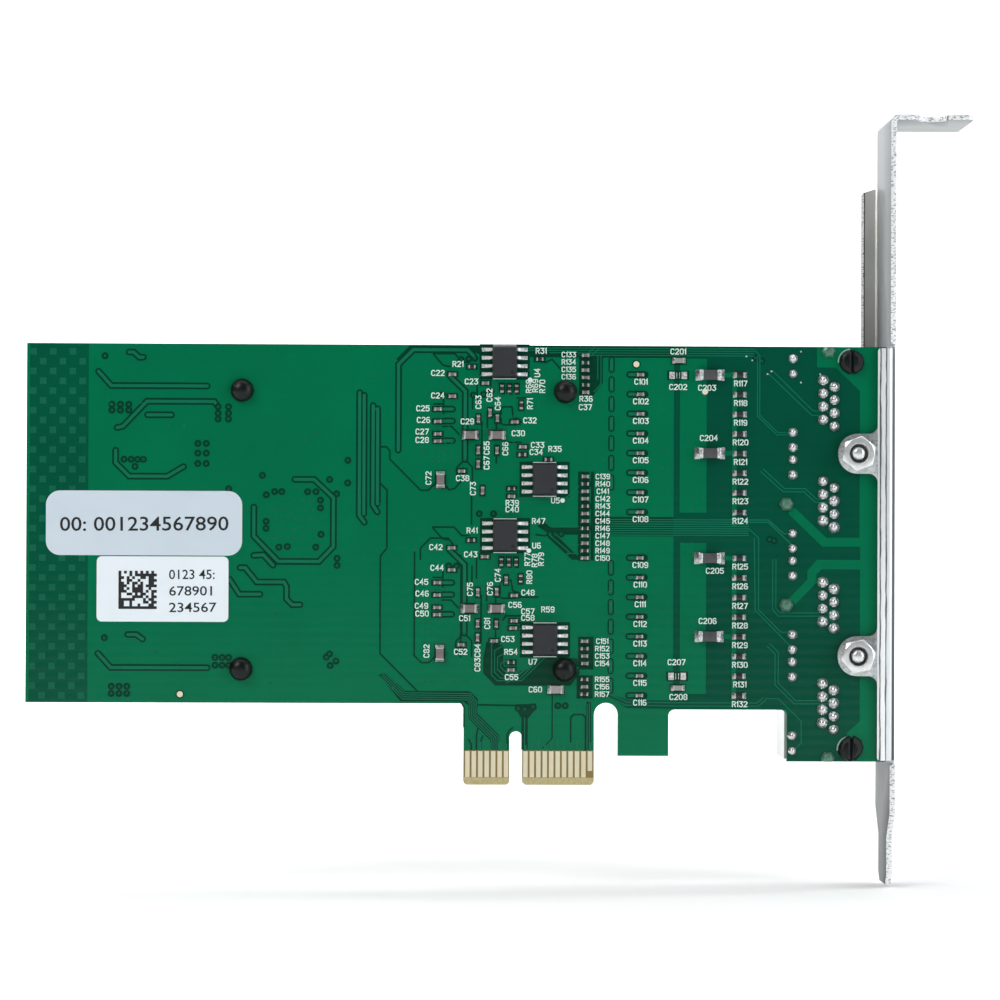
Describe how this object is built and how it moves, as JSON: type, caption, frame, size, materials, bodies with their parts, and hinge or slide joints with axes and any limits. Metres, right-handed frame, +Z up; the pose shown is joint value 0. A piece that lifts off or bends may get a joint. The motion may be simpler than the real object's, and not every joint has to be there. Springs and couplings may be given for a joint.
{
  "type": "network interface card",
  "caption": "Green plug-in circuit board with a card-edge tongue, a folded metal slot bracket, a multi-port network jack block, line transformers and a finned heatsink.",
  "frame": {"origin": "middle of the key slot at the tip of the edge connector, on the board's mid-plane", "axes": "+X along the board towards the bracket, +Y towards the component side, +Z up, away from the edge connector"},
  "size_m": [0.1469, 0.0206, 0.1201],
  "materials": {
    "solder_mask": "green solder resist over glass laminate, satin gloss",
    "gold_contact": "hard gold plating, smooth",
    "plated_steel": "bright zinc or nickel plated sheet",
    "nickel_steel": "nickel plated, machined",
    "black_plastic": "moulded, slightly rough",
    "shield_steel": "tin plated thin sheet",
    "clear_green": "green tinted lamp body",
    "clear_amber": "amber tinted lamp body",
    "tinned_lead": "tin plated lead frame",
    "solder": "reflowed solder, bright",
    "moulded_epoxy": "mould compound, fine grain",
    "anodised_aluminium": "black anodised extrusion",
    "pin_nylon": "moulded nylon",
    "spring_steel": "drawn wire",
    "substrate": "package substrate",
    "pad_rubber": "soft thermal pad",
    "ceramic_brown": "fired ceramic with tinned ends",
    "ceramic_grey": "fired ceramic with tinned ends",
    "resistor_black": "glazed top with tinned ends",
    "label_paper": "coated label stock",
    "ferrite": "sintered ferrite",
    "can_aluminium": "drawn can",
    "tantalum_case": "moulded case"
  },
  "bodies": {
    "root": {"circuit_board": "solder_mask", "edge_contacts_solder_side": "gold_contact", "edge_contacts_component_side": "gold_contact", "bracket": "plated_steel", "bracket_studs": "nickel_steel", "bracket_nuts": "nickel_steel", "jack_housing": "black_plastic", "jack_shield": "shield_steel", "port_contacts": "gold_contact", "contact_carriers": "black_plastic", "link_lamps": "clear_green", "activity_lamps": "clear_amber", "lamp_legs": "tinned_lead", "upper_transformer_case": "moulded_epoxy", "upper_transformer_leads": "tinned_lead", "lower_transformer_case": "moulded_epoxy", "lower_transformer_leads": "tinned_lead", "heatsink": "anodised_aluminium", "push_pins": "pin_nylon", "push_pin_springs": "spring_steel", "upper_network_controller": "moulded_epoxy", "lower_network_controller": "moulded_epoxy", "bridge_chip": "moulded_epoxy", "thermal_pads": "pad_rubber", "memory_chips": "moulded_epoxy", "memory_leads": "tinned_lead", "centre_tap_capacitors": "ceramic_brown", "line_resistors": "resistor_black", "surge_capacitors": "ceramic_grey", "bypass_capacitors": "ceramic_brown", "small_capacitors": "ceramic_brown", "small_resistors": "resistor_black", "contact_joints": "solder", "lamp_joints": "solder", "shield_joints": "solder", "serial_label": "label_paper", "address_label": "label_paper", "crystal_bases": "black_plastic", "crystal_cans": "can_aluminium", "power_inductors": "ferrite", "voltage_regulators": "moulded_epoxy", "regulator_leads": "tinned_lead", "capacitor_cans": "can_aluminium", "capacitor_bases": "black_plastic", "tantalum_capacitors": "tantalum_case"}
  },
  "joints": []
}
